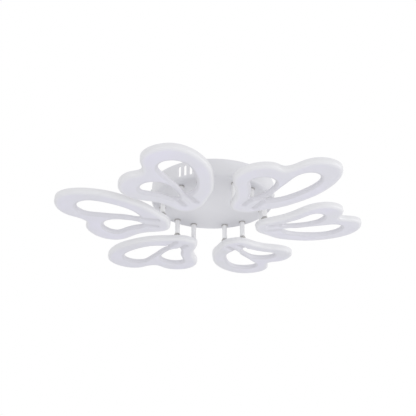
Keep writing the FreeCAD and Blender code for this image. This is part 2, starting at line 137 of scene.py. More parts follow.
def makeFloor():
    half, depth = studio["floorHalf"], studio["floorDepth"]
    corners = [(-half, -half), (half, -half), (half, half), (-half, half)]
    mesh = bpy.data.meshes.new("studioFloor")
    mesh.from_pydata([(x, y, depth) for x, y in corners], [], [(0, 1, 2, 3)])
    floor = bpy.data.objects.new("studioFloor", mesh)
    bpy.context.scene.collection.objects.link(floor)
    material = bpy.data.materials.new("floorPaper")
    material.use_nodes = True
    shader = material.node_tree.nodes["Principled BSDF"]
    shader.inputs["Base Color"].default_value = studio["floorColor"]
    shader.inputs["Roughness"].default_value = studio["floorRough"]
    mesh.materials.append(material)


makeWorld()
makeLamps()
makeFloor()
bpy.context.scene.view_settings.view_transform = "Standard"
print("studio ready")


# Node groups for effects that several finishes share
glossScale = 3.1  # the gloss changes over shorter lengths than the tone
noiseSpan = (0.3, 0.7)  # where most values of a noise lie


def newGroup(name, inputs, outputs):
    group = bpy.data.node_groups.new(name, "ShaderNodeTree")
    for socket, value in inputs:
        made = group.interface.new_socket(socket, in_out="INPUT", socket_type="NodeSocketFloat")
        made.default_value = value
    for socket in outputs:
        group.interface.new_socket(socket, in_out="OUTPUT", socket_type="NodeSocketFloat")
    return group, group.nodes.new("NodeGroupInput"), group.nodes.new("NodeGroupOutput")


def noiseNode(group, coordinates, scaleSocket, detail):
    noise = group.nodes.new("ShaderNodeTexNoise")
    noise.inputs["Detail"].default_value = detail
    group.links.new(coordinates, noise.inputs["Vector"])
    group.links.new(scaleSocket, noise.inputs["Scale"])
    return noise.outputs["Fac"]


def makeSkinGroup():
    # Fine surface texture, a cloudy tone and a slow unevenness of the gloss
    inputs = [("Grain", 900.0), ("Cloud", 14.0)]
    group, given, out = newGroup("skinTexture", inputs, ["Height", "Tone", "Gloss"])
    place = group.nodes.new("ShaderNodeTexCoord").outputs["Object"]
    grain = noiseNode(group, place, given.outputs["Grain"], detail=2.0)
    cloud = noiseNode(group, place, given.outputs["Cloud"], detail=3.0)
    group.links.new(grain, out.inputs["Height"])
    group.links.new(cloud, out.inputs["Tone"])
    finer = group.nodes.new("ShaderNodeMath")
    finer.operation = "MULTIPLY"
    finer.inputs[1].default_value = glossScale
    group.links.new(given.outputs["Cloud"], finer.inputs[0])
    gloss = noiseNode(group, place, finer.outputs[0], detail=4.0)
    group.links.new(gloss, out.inputs["Gloss"])
    return group


def profilePlaces(tree):
    # A made piece's own map: turns and length along its profile, or a shade's distances from edges,
    # which place its painted light and painted shade
    places = tree.nodes.new("ShaderNodeUVMap")
    places.uv_map = "profile"
    parts = tree.nodes.new("ShaderNodeSeparateXYZ")
    tree.links.new(places.outputs["UV"], parts.inputs[0])
    return parts


def makeTurnedGroup():
    # Fine rings left by turning, read along a piece's own profile
    inputs = [("Rings", 60.0), ("Scratch", 700.0)]
    group, given, out = newGroup("turnedRings", inputs, ["Height", "Tone"])
    parts = profilePlaces(group)
    turns = group.nodes.new("ShaderNodeMath")
    turns.operation = "MULTIPLY"
    group.links.new(parts.outputs["Y"], turns.inputs[0])
    group.links.new(given.outputs["Rings"], turns.inputs[1])
    wave = group.nodes.new("ShaderNodeMath")
    wave.operation = "SINE"
    group.links.new(turns.outputs[0], wave.inputs[0])
    place = group.nodes.new("ShaderNodeTexCoord").outputs["Object"]
    scratch = noiseNode(group, place, given.outputs["Scratch"], detail=3.0)
    both = group.nodes.new("ShaderNodeMath")
    both.operation = "ADD"
    group.links.new(wave.outputs[0], both.inputs[0])
    group.links.new(scratch, both.inputs[1])
    group.links.new(both.outputs[0], out.inputs["Height"])
    group.links.new(scratch, out.inputs["Tone"])
    return group


def makeSpangleGroup():
    # Crystal patches of zinc plating
    group, given, out = newGroup("zincSpangle", [("Patch", 160.0)], ["Height", "Tone"])
    place = group.nodes.new("ShaderNodeTexCoord").outputs["Object"]
    cells = group.nodes.new("ShaderNodeTexVoronoi")
    group.links.new(place, cells.inputs["Vector"])
    group.links.new(given.outputs["Patch"], cells.inputs["Scale"])
    tone = group.nodes.new("ShaderNodeSeparateColor")
    group.links.new(cells.outputs["Color"], tone.inputs[0])
    group.links.new(tone.outputs[0], out.inputs["Tone"])
    group.links.new(cells.outputs["Distance"], out.inputs["Height"])
    return group


groups = {"skin": makeSkinGroup(), "turned": makeTurnedGroup(), "spangle": makeSpangleGroup()}
print("node groups ready")


# Finishes: two tones, the group that varies them, its values, the bump and the roughness range
finishes = {
    "powderCoat": {
        "tones": ((0.735, 0.735, 0.765), (0.775, 0.775, 0.805)), "group": "skin", "metal": 0.0,
        "values": {"Grain": 1400.0, "Cloud": 9.0}, "bump": (0.12, 0.00025), "rough": (0.34, 0.46),
    },
    "rodEnamel": {
        "tones": ((0.90, 0.90, 0.905), (0.93, 0.93, 0.935)), "group": "skin", "metal": 0.0,
        "values": {"Grain": 500.0, "Cloud": 40.0}, "bump": (0.05, 0.0002), "rough": (0.16, 0.26),
    },
    "satinNickel": {
        "tones": ((0.42, 0.41, 0.40), (0.56, 0.55, 0.53)), "group": "turned", "metal": 1.0,
        "values": {"Rings": 160.0, "Scratch": 900.0}, "bump": (0.15, 0.0001), "rough": (0.26, 0.40),
    },
    "zincPlate": {
        "tones": ((0.57, 0.58, 0.60), (0.64, 0.65, 0.66)), "group": "spangle", "metal": 1.0,
        "values": {"Patch": 320.0}, "bump": (0.10, 0.0002), "rough": (0.30, 0.48),
    },
    "opalAcrylic": {
        "tones": ((0.705, 0.705, 0.745), (0.73, 0.72, 0.81)), "group": "skin", "metal": 0.0,
        "values": {"Grain": 2200.0, "Cloud": 12.0}, "bump": (0.06, 0.00015), "rough": (0.30, 0.40),
        # Painted light: a lighter, more neutral colour along the outline, where the walls catch the
        # light
        "paintedEdgeLight": (0.765, 0.765, 0.785), "edgeReach": (0.0, 11.0),  # millimetres from the outline
        # Painted shade: a darker colour on the openings' walls and in the grooves, where little
        # light reaches
        "paintedLipShade": (0.66, 0.655, 0.70), "lipReach": (4.0, 7.5),  # and from an opening
    },
    "boardMask": {
        "tones": ((0.80, 0.80, 0.79), (0.86, 0.86, 0.85)), "group": "skin", "metal": 0.0,
        "values": {"Grain": 1500.0, "Cloud": 60.0}, "bump": (0.06, 0.0001), "rough": (0.38, 0.52),
    },
    "chipPhosphor": {
        "tones": ((0.82, 0.60, 0.12), (0.88, 0.70, 0.22)), "group": "skin", "metal": 0.0,
        "values": {"Grain": 3000.0, "Cloud": 300.0}, "bump": (0.1, 0.0001), "rough": (0.30, 0.45),
    },
    "caseShell": {
        "tones": ((0.74, 0.74, 0.73), (0.79, 0.79, 0.78)), "group": "skin", "metal": 0.0,
        "values": {"Grain": 1100.0, "Cloud": 25.0}, "bump": (0.2, 0.0003), "rough": (0.42, 0.58),
    },
    "circuitBoard": {
        "tones": ((0.03, 0.16, 0.07), (0.06, 0.24, 0.10)), "group": "spangle", "metal": 0.0,
        "values": {"Patch": 420.0}, "bump": (0.15, 0.0002), "rough": (0.30, 0.48),
    },
    "darkComponent": {
        "tones": ((0.03, 0.03, 0.035), (0.06, 0.06, 0.065)), "group": "skin", "metal": 0.0,
        "values": {"Grain": 1600.0, "Cloud": 90.0}, "bump": (0.2, 0.0002), "rough": (0.36, 0.55),
    },
    "blockNylon": {
        "tones": ((0.76, 0.75, 0.70), (0.82, 0.81, 0.77)), "group": "skin", "metal": 0.0,
        "values": {"Grain": 900.0, "Cloud": 70.0}, "bump": (0.14, 0.0002), "rough": (0.36, 0.5),
    },
    "brassScrew": {
        "tones": ((0.62, 0.44, 0.18), (0.74, 0.56, 0.28)), "group": "spangle", "metal": 1.0,
        "values": {"Patch": 900.0}, "bump": (0.08, 0.0001), "rough": (0.26, 0.42),
    },
    "leadSleeve": {
        "tones": ((0.76, 0.74, 0.72), (0.82, 0.80, 0.78)), "group": "skin", "metal": 0.0,
        "values": {"Grain": 800.0, "Cloud": 120.0}, "bump": (0.1, 0.0002), "rough": (0.4, 0.55),
    },
    "lineSleeve": {
        "tones": ((0.17, 0.06, 0.03), (0.22, 0.09, 0.05)), "group": "skin", "metal": 0.0,
        "values": {"Grain": 800.0, "Cloud": 120.0}, "bump": (0.1, 0.0002), "rough": (0.4, 0.55),
    },
    "earthSleeve": {
        "tones": ((0.10, 0.30, 0.06), (0.70, 0.62, 0.05)), "group": "spangle", "metal": 0.0,
        "values": {"Patch": 260.0}, "bump": (0.05, 0.0001), "rough": (0.4, 0.55),
    },
}


def mapped(tree, source, low, high):
    spread = tree.nodes.new("ShaderNodeMapRange")
    spread.inputs["From Min"].default_value, spread.inputs["From Max"].default_value = noiseSpan
    spread.inputs["To Min"].default_value, spread.inputs["To Max"].default_value = low, high
    tree.links.new(source, spread.inputs["Value"])
    return spread.outputs[0]


def paintedBandShading(tree, color, finish):
    # Painted light along the outline and painted shade on the openings' walls each give way to the
    # band's own colour
    parts = profilePlaces(tree)
    for distance, tone, reach in (("X", "paintedEdgeLight", "edgeReach"), ("Y", "paintedLipShade", "lipReach")):
        spread = tree.nodes.new("ShaderNodeMapRange")
        spread.interpolation_type = "SMOOTHSTEP"
        spread.inputs["From Min"].default_value = finish[reach][0]
        spread.inputs["From Max"].default_value = finish[reach][1]
        tree.links.new(parts.outputs[distance], spread.inputs["Value"])
        mix = tree.nodes.new("ShaderNodeMix")
        mix.data_type = "RGBA"
        mix.inputs["A"].default_value = (*finish[tone], 1)
        tree.links.new(spread.outputs[0], mix.inputs["Factor"])
        tree.links.new(color, mix.inputs["B"])
        color = mix.outputs["Result"]
    return color


def makeFinish(name):
    finish = finishes[name]
    material = bpy.data.materials.new(name)
    material.use_nodes = True
    tree = material.node_tree
    shader = tree.nodes["Principled BSDF"]
    shader.inputs["Metallic"].default_value = finish["metal"]
    effect = tree.nodes.new("ShaderNodeGroup")
    effect.node_tree = groups[finish["group"]]
    for socket, value in finish["values"].items():
        effect.inputs[socket].default_value = value
    mix = tree.nodes.new("ShaderNodeMix")
    mix.data_type = "RGBA"
    mix.inputs["A"].default_value = (*finish["tones"][0], 1)
    mix.inputs["B"].default_value = (*finish["tones"][1], 1)
    tree.links.new(mapped(tree, effect.outputs["Tone"], 0.0, 1.0), mix.inputs["Factor"])
    color = mix.outputs["Result"]
    # Painted light and painted shade on a petal shade's band
    if "paintedEdgeLight" in finish:
        color = paintedBandShading(tree, color, finish)
    tree.links.new(color, shader.inputs["Base Color"])
    gloss = effect.outputs["Gloss"] if "Gloss" in effect.outputs else effect.outputs["Tone"]
    tree.links.new(mapped(tree, gloss, *finish["rough"]), shader.inputs["Roughness"])
    bump = tree.nodes.new("ShaderNodeBump")
    bump.inputs["Strength"].default_value, bump.inputs["Distance"].default_value = finish["bump"]
    tree.links.new(effect.outputs["Height"], bump.inputs["Height"])
    tree.links.new(bump.outputs["Normal"], shader.inputs["Normal"])
    return material


materials = {name: makeFinish(name) for name in finishes}
print("finishes ready:", len(materials))


# The finish of every CAD node; made pieces stand for some of them further on
nodeFinishes = {
    "canopy": "powderCoat", "back_plate": "powderCoat",
    "ceiling_bracket": "zincPlate", "canopy_screws": "zincPlate", "stud_nuts": "zincPlate",
    "plate_screws": "zincPlate", "rod_washers": "satinNickel", "rod_nuts": "satinNickel",
    "rod_collars": "satinNickel", "swivel_sockets": "satinNickel", "rods": "rodEnamel",
    "diffuser": "opalAcrylic", "led_board": "boardMask", "led_chips": "chipPhosphor",
    "driver_case": "caseShell", "driver_lid": "caseShell", "driver_board": "circuitBoard",
    "driver_components": "darkComponent", "terminal_block": "blockNylon",
    "terminal_screws": "brassScrew", "supply_leads": "lineSleeve", "earth_lead": "earthSleeve",
    "petal_leads": "leadSleeve",
}


def paintNodes():
    for name, node in frame["nodes"].items():
        words = name.split("_")
        piece = "_".join(words[2:]) if words[0] == "petal" and words[1].isdigit() else name
        node.data.materials.clear()
        node.data.materials.append(materials[nodeFinishes[piece]])


paintNodes()
print("CAD nodes painted")


# Meshes are computed as whole arrays in millimetres: rows run along a profile, columns round it
mergeGap = 0.002  # points closer than this become one
joinGap = 0.00001  # the same for a flat triangulation
outerSkin = 0.1  # teeth and threads change only points this near to the outer radius
threadRows = 5  # in one turn of a thread
edgeRows = 6  # in a rounded edge


def gridFaces(rows, columns, closeRows):
    index = np.arange(rows * columns).reshape(rows, columns)
    index = np.hstack([index, index[:, :1]])
    if closeRows:
        index = np.vstack([index, index[:1]])
    corners = [index[:-1, :-1], index[:-1, 1:], index[1:, 1:], index[1:, :-1]]
    return np.stack(corners, -1).reshape(-1, 4)


def turned(profile, columns=64, shape=None, closeRows=True):
    # A profile of radius and height carried round the Z axis; shape may change both by angle
    profile = np.asarray(profile, float)
    angle = np.linspace(0, 2 * np.pi, columns, endpoint=False)[None, :]
    radius = np.repeat(profile[:, :1], columns, 1)
    height = np.repeat(profile[:, 1:], columns, 1)
    if shape:
        radius, height = shape(radius, angle, height)
    points = np.stack([radius * np.cos(angle), radius * np.sin(angle), height], -1)
    step = np.linalg.norm(np.diff(profile, axis=0), axis=1)
    along = np.concatenate([[0], np.cumsum(step)])
    uv = np.stack(np.broadcast_arrays(angle / (2 * np.pi), along[:, None]), -1)
    return points.reshape(-1, 3), uv.reshape(-1, 2), gridFaces(len(profile), columns, closeRows)


def placed(surface, origin, axes=np.eye(3)):
    points, uv, faces = surface
    return points @ np.asarray(axes) + np.asarray(origin), uv, faces


def joinedSurfaces(surfaces):
    points = np.concatenate([surface[0] for surface in surfaces])
    uv = np.concatenate([surface[1] for surface in surfaces])
    faces, start = [], 0
    for surface in surfaces:
        faces += (surface[2] + start).tolist()
        start += len(surface[0])
    return points, uv, faces


def makePiece(name, surfaces, body, finish, replaced, sharpAngle=35):
    points, uv, faces = joinedSurfaces(surfaces)
    mesh = bpy.data.meshes.new(name)
    mesh.from_pydata((points * mm).tolist(), [], faces)
    corners = np.zeros(len(mesh.loops), int)
    mesh.loops.foreach_get("vertex_index", corners)
    layer = mesh.uv_layers.new(name="profile")
    layer.data.foreach_set("uv", uv[corners].astype(np.float32).ravel())
    work = bmesh.new()
    work.from_mesh(mesh)
    bmesh.ops.remove_doubles(work, verts=work.verts, dist=mergeGap * mm)
    bmesh.ops.recalc_face_normals(work, faces=work.faces)
    work.to_mesh(mesh)
    work.free()
    mesh.polygons.foreach_set("use_smooth", np.ones(len(mesh.polygons), bool))
    mesh.set_sharp_from_angle(angle=math.radians(sharpAngle))
    mesh.materials.append(materials[finish])
    piece = bpy.data.objects.new(name, mesh)
    bpy.context.scene.collection.objects.link(piece)
    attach(piece, body)
    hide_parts(*replaced)


def petalAxes(body):
    # Origin and axes of a petal at rest: along the hinge line, outwards, and up from its face
    joint = joints[body]
    across = np.array(joint["axis"]) / np.linalg.norm(joint["axis"])
    level = np.cross((0, 0, 1), across)
    level /= np.linalg.norm(level)
    rise = np.cross(across, level)
    tilt = -math.radians(sum(joint["range_deg"]) / 2)
    outwards = level * math.cos(tilt) + rise * math.sin(tilt)
    upwards = rise * math.cos(tilt) - level * math.sin(tilt)
    return np.array(joint["pos_m"]) / mm, np.array([across, outwards, upwards])


# Petal shades: bands of opal acrylic round two openings, with a groove on from each opening's tip
shade = {
    "outline": [
        (4, -17), (-18, -11.5), (-40, 9), (-61, 31), (-82, 68), (-95, 108), (-97, 140), (-90, 176),
        (-70, 204), (-38, 213), (-9, 203), (5, 184), (13, 163), (22, 154), (40, 155), (72, 143),
        (89, 113), (84, 81), (55, 49.5), (39, 24), (28, -4), (18, -14.5),
    ],
    "largeOpening": [
        (-17, 43), (-27, 46.5), (-41, 59), (-56, 88), (-64, 119), (-62, 151), (-45, 168),
        (-28, 168), (-14, 154), (-12, 128), (-13.5, 95), (-14, 62), (-13, 48),
    ],
    "smallOpening": [
        (9, 36), (1, 45), (-2.5, 65), (-1, 88), (10, 111), (32, 118), (49, 108), (53.5, 95),
        (42, 78), (27, 60), (15.5, 41),
    ],
    "top": -3.2,  # under the back plate
    "bottom": -13.2,
    "wall": 2.5,
    "ceiling": -10.7,  # inside the hollow
    "rimWidth": 9.5,  # solid round each opening
    "outlineRound": (5.0, 4.6),  # reach and height of the lower edge's rounding
    "openingRound": (5.0, 4.7),
    "upperReach": 5.0,
    "crown": (14.0, 0.6),  # gentle rise of the lower face towards every edge
    "grooves": [((-15.5, 43), (-17, 10)), ((10, 36), (8.5, 11))],
    "grooveHalf": (5.0, 5.0),  # half width at the opening's tip and at the root
    "grooveSlope": 6.0,
    "grooveDepth": 4.0,
    "grooveRoof": (2.0, 3.0),  # how much wider and higher the hollow steps over a groove
    "edgePoints": 640,
    "edgeRings": 8,
    "spacing": 2.0,  # between the points of the lower face
    "ringGap": 1.2,  # kept between those points and the rings along the edges
    "hollowSpacing": 3.0,
    # Past this distance no painted light or painted shade reaches
    "pastPaintedShading": 99.0,  # a distance beyond the reach of the edge tones
}
shadePosts = {
    "places": [(0, 18), (-80, 118), (-40, 191), (6, 139), (71, 99)],
    "radius": 3.0,
    "bore": 1.3,
    "foot": -11.8,
    "boreEnd": -9.7,
    "edge": 0.3,
    "columns": 24,
}


def closedCurve(knots, count):
    # Periodic cubic spline through clockwise knots, by chord length: places and outward normals
    knots = np.asarray(knots, float)
    number = len(knots)
    ahead = np.roll(knots, -1, 0)
    chord = np.linalg.norm(ahead - knots, axis=1)
    behind = np.roll(chord, 1)
    row = np.arange(number)
    matrix = np.zeros((number, number))
    matrix[row, row] = 2 * (behind + chord)
    matrix[row, row - 1] = behind
    matrix[row, (row + 1) % number] = chord
    slope = (ahead - knots) / chord[:, None]
    bend = np.linalg.solve(matrix, 6 * (slope - np.roll(slope, 1, 0)))
    start = np.concatenate([[0], np.cumsum(chord)])
    run = np.linspace(0, start[-1], count, endpoint=False)
    span = np.clip(np.searchsorted(start, run, "right") - 1, 0, number - 1)
    length = chord[span][:, None]
    done = run[:, None] - start[span][:, None]
    left = length - done
    bend0, bend1 = bend[span], bend[(span + 1) % number]
    end0 = knots[span] / length - bend0 * length / 6
    end1 = ahead[span] / length - bend1 * length / 6
    places = (bend0 * left ** 3 + bend1 * done ** 3) / (6 * length) + end0 * left + end1 * done
    along = (bend1 * done ** 2 - bend0 * left ** 2) / (2 * length) - end0 + end1
    along /= np.linalg.norm(along, axis=1)[:, None]
    return places, np.stack([-along[:, 1], along[:, 0]], -1)


def nearest(places, loop):
    return np.sqrt(((places[:, None, :] - loop[None, :, :]) ** 2).sum(-1)).min(1)


def inside(places, loop):
    # Even-odd rule
    ahead = np.roll(loop, -1, 0)
    x, y = places[:, :1], places[:, 1:]
    spans = (loop[:, 1] > y) != (ahead[:, 1] > y)
    rise = np.where(loop[:, 1] == ahead[:, 1], 1, ahead[:, 1] - loop[:, 1])
    crossings = spans & (x < loop[:, 0] + (y - loop[:, 1]) * (ahead[:, 0] - loop[:, 0]) / rise)
    return crossings.sum(1) % 2 == 1


def grooveReach(places, groove):
    # Distance from the groove's middle line, and the share of the way along it
    tip, end = (np.array(place, float) for place in groove)
    share = np.clip((places - tip) @ (end - tip) / ((end - tip) ** 2).sum(), 0, 1)
    return np.linalg.norm(places - tip - share[:, None] * (end - tip), axis=1), share


def grooveEdge(places):
    # Distance outside the nearer groove's side, negative within it
    edges = []
    for groove in shade["grooves"]:
        aside, share = grooveReach(places, groove)
        edges.append(aside - shade["grooveHalf"][0] * (1 - share) - shade["grooveHalf"][1] * share)
    return np.minimum.reduce(edges)


def paintedShadeDistance(places, openingNear):
    # Grooves take the painted shade of the openings' walls
    return np.minimum(openingNear, np.maximum(grooveEdge(places) + shade["openingRound"][0], 0))


def rounding(near, reach, height):
    # Quarter ellipse from a wall to a flat face
    share = np.clip(1 - near / reach, 0, 1)
    return height * (1 - np.sqrt(1 - share ** 2))


def grooveStep(places, wider):
    # Smooth step from 0 outside a groove to 1 within it
    share = np.clip(0.5 - (grooveEdge(places) - wider) / shade["grooveSlope"], 0, 1)
    return share ** 2 * (3 - 2 * share)


def lowerFace(places, outlineNear, openingNear):
    # Rounded along every edge, slightly crowned across each band and sunk along the grooves
    crownReach, crownHeight = shade["crown"]
    edge = np.clip(1 - np.minimum(outlineNear, openingNear) / crownReach, 0, 1)
    rise = rounding(outlineNear, *shade["outlineRound"])
    rise += rounding(openingNear, *shade["openingRound"])
    rise += crownHeight * edge ** 2
    return shade["bottom"] + np.maximum(rise, shade["grooveDepth"] * grooveStep(places, 0))


def between(places, outer, holes):
    # Inside the outer loop and outside every hole
    within = inside(places, outer)
    for hole in holes:
        within &= ~inside(places, hole)
    return within


def triangulated(loops, fill, kept=None):
    # Triangles over loops and fill points; the loops stay as edges, or only at their kept points
    starts = np.cumsum([0] + [len(loop) for loop in loops])
    rings = [np.arange(low, high) for low, high in zip(starts, starts[1:])]
    chain = np.concatenate([np.column_stack([ring, np.roll(ring, -1)]) for ring in rings])
    if kept is not None:
        chain = chain[kept[chain].any(1)]
    given = [Vector(place) for place in np.vstack(loops + [fill]).tolist()]
    found = delaunay_2d_cdt(given, chain.tolist(), [], 0, joinGap)
    return np.array([place[:] for place in found[0]]), np.array(found[2])


def hexagonGrid(loop, spacing):
    low, high = loop.min(0), loop.max(0)
    rowStep = spacing * 0.866  # height of a triangle with three like sides
    x, y = np.meshgrid(np.arange(low[0], high[0], spacing), np.arange(low[1], high[1], rowStep))
    x[1::2] += spacing / 2
    return np.column_stack([x.ravel(), y.ravel()])


def shadeEdges():
    # The outline and the two openings, with normals into the acrylic
    outline, away = closedCurve(shade["outline"], shade["edgePoints"])
    names = ("largeOpening", "smallOpening")
    openings = [closedCurve(shade[name], shade["edgePoints"] // 2) for name in names]
    return (outline, -away), openings


def shadeUnderside(outline, openings):
    # Rings over each edge, then a fill of points between the innermost rings
    edgeLoops = [opening[0] for opening in openings]
    arc = np.linspace(0, np.pi / 2, shade["edgeRings"])
    edges = [(outline, shade["outlineRound"][0])]
    edges += [(opening, shade["openingRound"][0]) for opening in openings]
    surfaces, innermost = [], []
    for (loop, inward), reach in edges:
        outer = loop is outline[0]
        steps = reach * (1 - np.cos(arc))
        flat = (loop[None] + inward[None] * steps[:, None, None]).reshape(-1, 2)
        own = np.repeat(steps, len(loop))
        toOutline = own if outer else nearest(flat, outline[0])
        toEdges = [own if loop is edge else nearest(flat, edge) for edge in edgeLoops]
        toOpening = np.minimum.reduce(toEdges)
        height = lowerFace(flat, toOutline, toOpening)
        ends = height[:len(loop)]
        if outer:
            wall = np.column_stack([loop, np.full(len(loop), shade["top"])])
        else:
            turn = arc[::-1][:-1]
            out = shade["upperReach"] * (1 - np.cos(turn))
            places = loop[None] + inward[None] * out[:, None, None]
            level = shade["top"] - (1 - np.sin(turn))[:, None] * (shade["top"] - ends)[None]
            wall = np.column_stack([places.reshape(-1, 2), level.ravel()])
        points = np.vstack([wall, np.column_stack([flat, height])])
        # The map carries distances from the outline and from the openings, which place the painted
        # light and painted shade
        past, none = np.full(len(wall), shade["pastPaintedShading"]), np.zeros(len(wall))
        wallShadingDistances = np.column_stack([none, past] if outer else [past, none])
        faceShadingDistances = np.column_stack([toOutline, paintedShadeDistance(flat, toOpening)])
        uv = np.vstack([wallShadingDistances, faceShadingDistances])
        rows = len(points) // len(loop)
        surfaces.append((points, uv, gridFaces(rows, len(loop), False)))
        innermost.append(flat[-len(loop):])
    fill = hexagonGrid(innermost[0], shade["spacing"])
    keep = between(fill, innermost[0], innermost[1:])
    for ring in innermost:
        keep &= nearest(fill, ring) > shade["ringGap"]
    flat, triangles = triangulated(innermost, fill[keep])
    triangles = triangles[between(flat[triangles].mean(1), innermost[0], innermost[1:])]
    toOutline = nearest(flat, outline[0])
    toOpening = np.minimum.reduce([nearest(flat, edge) for edge in edgeLoops])
    height = lowerFace(flat, toOutline, toOpening)
    # The same distances place the painted light and painted shade on the fill
    uv = np.column_stack([toOutline, paintedShadeDistance(flat, toOpening)])
    surfaces.append((np.column_stack([flat, height]), uv, triangles))
    return surfaces


def usedOnly(points, uv, faces):
    # Leaves out the points that no face uses
    used, index = np.unique(faces, return_inverse=True)
    return points[used], uv[used], index.reshape(faces.shape)


def shadeHollow(outline, openings):
    # Flat rims under the back plate, and the hollow between them with its ceiling and walls
    lips = [loop + inward * shade["upperReach"] for loop, inward in openings]
    rims = [loop + inward * shade["rimWidth"] for loop, inward in openings]
    room = outline[0] + outline[1] * shade["wall"]
    whole = [outline[0], room] + lips
    # A rim is an edge only where the other rim doesn't cover it
    bare = [~inside(rims[0], rims[1]), ~inside(rims[1], rims[0])]
    kept = np.concatenate([np.ones(sum(len(loop) for loop in whole), bool)] + bare)
    fill = hexagonGrid(outline[0], shade["hollowSpacing"])
    flat, triangles = triangulated(whole + rims, fill, kept)
    middle = flat[triangles].mean(1)
    solid = between(middle, outline[0], lips)
    hollow = between(middle, room, rims)
    wider, higher = shade["grooveRoof"]
    ceiling = shade["ceiling"] + higher * grooveStep(flat, wider)
    far = np.full((len(flat), 2), shade["pastPaintedShading"])
    surfaces = []
    for chosen, level in ((solid & ~hollow, np.full(len(flat), shade["top"])), (hollow, ceiling)):
        surfaces.append((np.column_stack([flat, level]), far, triangles[chosen]))
    # Walls stand on the sides that only one triangle of the hollow has
    sides = np.concatenate([triangles[hollow][:, pair] for pair in ([0, 1], [1, 2], [2, 0])])
    kinds, number = np.unique(np.sort(sides, 1), axis=0, return_counts=True)
    rim = kinds[number == 1]
    both = np.vstack([surface[0] for surface in surfaces])
    walls = np.column_stack([rim, rim[:, ::-1] + len(flat)])
    surfaces.append((both, np.vstack([far, far]), walls))
    return [usedOnly(*surface) for surface in surfaces]


def postSurface():
    post, edge = shadePosts, shadePosts["edge"]
    profile = [
        (0, post["foot"]), (post["radius"], post["foot"]), (post["radius"], shade["top"] - edge),
        (post["radius"] - edge, shade["top"]), (post["bore"] + edge, shade["top"]),
        (post["bore"], shade["top"] - edge), (post["bore"], post["boreEnd"]),
        (0, post["boreEnd"] - edge),
    ]
    points, uv, faces = turned(profile, post["columns"], closeRows=False)
    return points, np.full_like(uv, shade["pastPaintedShading"]), faces


def makeShades():
    outline, openings = shadeEdges()
    surfaces = shadeUnderside(outline, openings) + shadeHollow(outline, openings)
    surfaces += [placed(postSurface(), (x, y, 0)) for x, y in shadePosts["places"]]
    for body in petals:
        origin, axes = petalAxes(body)
        there = [placed(surface, origin, axes) for surface in surfaces]
        replaced = [body + "_diffuser"]
        makePiece(body + "_shade", there, body, "opalAcrylic", replaced, 40)


makeShades()
print("petal shades ready")


# Hanging rods: enamelled tubes with a ball at the foot and a thread up through the canopy
rod = {
    "spacing": 41.0,
    "radius": 5.0,
    "bore": 1.1,
    "ball": 3.5,
    "neck": 2.0,
    "neckLength": 4.0,
    "shoulder": 0.5,
    "top": -30.8,
    "threadFoot": -38.0,
    "threadPitch": 1.0,
    "threadDepth": 0.4,
    "columns": 48,
}


def ballCentres(body):
    # The two swivel balls on a petal's hinge line
    origin, axes = petalAxes(body)
    return [origin + side * rod["spacing"] / 2 * axes[0] for side in (-1, 1)]


def arcProfile(radius, fromRadius, toRadius, foot, head, count=14):
    # Part of a circle, with foot if it starts on the lower half and head if it ends on the upper
    start = math.asin(fromRadius / radius) if foot else math.pi - math.asin(fromRadius / radius)
    end = math.asin(toRadius / radius) if not head else math.pi - math.asin(toRadius / radius)
    turn = np.linspace(start, end, count)
    return np.column_stack([radius * np.sin(turn), -radius * np.cos(turn)]).tolist()


def threaded(foot, head, pitch, depth, outer):
    # A triangular helix cut into a shaft between two heights, running out over a pitch at each end
    def shape(radius, angle, height):
        turns = height / pitch - angle / (2 * np.pi)
        wave = np.abs(2 * (turns % 1) - 1)
        within = np.clip(np.minimum(height - foot, head - height) / pitch, 0, 1)
        cut = depth * wave * within
        return np.where(radius > outer - outerSkin, radius - cut, radius), height
    return shape


def rodSurface(length):
    thread = length + rod["threadFoot"] - rod["top"]
    edge = rod["threadDepth"]
    profile = arcProfile(rod["ball"], rod["bore"], rod["neck"], True, True)
    profile += [(rod["neck"], rod["neckLength"])]
    profile += [(rod["radius"] - rod["shoulder"], rod["neckLength"])]
    profile += [(rod["radius"], rod["neckLength"] + rod["shoulder"])]
    heights = np.arange(thread, length - edge, rod["threadPitch"] / threadRows)
    profile += [(rod["radius"], height) for height in heights.tolist()]
    profile += [(rod["radius"] - edge, length), (rod["bore"] + edge, length)]
    profile += [(rod["bore"], length - edge)]
    shape = threaded(thread, length, rod["threadPitch"], rod["threadDepth"], rod["radius"])
    return turned(profile, rod["columns"], shape)


def makeRods():
    for body in petals:
        rods = [placed(rodSurface(rod["top"] - centre[2]), centre) for centre in ballCentres(body)]
        replaced = [body + "_rods"]
        makePiece(body + "_hangers", rods, "canopy_body", "rodEnamel", replaced)


makeRods()
print("rods ready")


# Swivels: a cup under the back plate and a knurled cap above it hold each ball
swivel = {
    "room": 3.55,
    "capRadius": 6.7,
    "capFoot": -2.2,
    "capTop": 2.1,
    "capBore": 4.65,
    "capEdge": 0.6,
    "teeth": 40,
    "toothDepth": 0.3,
    "cupRadius": 4.6,
    "cupFoot": -4.5,
    "cupEdge": 0.3,
    "cupColumns": 48,
    "flangeRadius": 5.0,
    "flange": (-4.0, -3.2),
    "columns": 160,
}


def knurled(teeth, depth, outer):
    # Straight teeth round the side of a cap
    def shape(radius, angle, height):
        groove = depth * (0.5 - 0.5 * np.cos(teeth * angle)) ** 2
        return np.where(radius > outer - outerSkin, radius - groove, radius), height
    return shape


def capSurface():
    radius, edge, top = swivel["capRadius"], swivel["capEdge"], swivel["capTop"]
    mouth = math.sqrt(swivel["room"] ** 2 - (top - edge) ** 2)
    profile = [(swivel["capBore"], swivel["capFoot"]), (radius - edge / 2, swivel["capFoot"])]
    profile += [(radius, swivel["capFoot"] + edge / 2), (radius, top - edge), (radius - edge, top)]
    profile += [(mouth + edge, top), (mouth, top - edge)]
    profile += arcProfile(swivel["room"], mouth, swivel["room"], False, False)[1:]
    profile += [(swivel["capBore"], 0)]
    shape = knurled(swivel["teeth"], swivel["toothDepth"], radius)
    return turned(profile, swivel["columns"], shape)


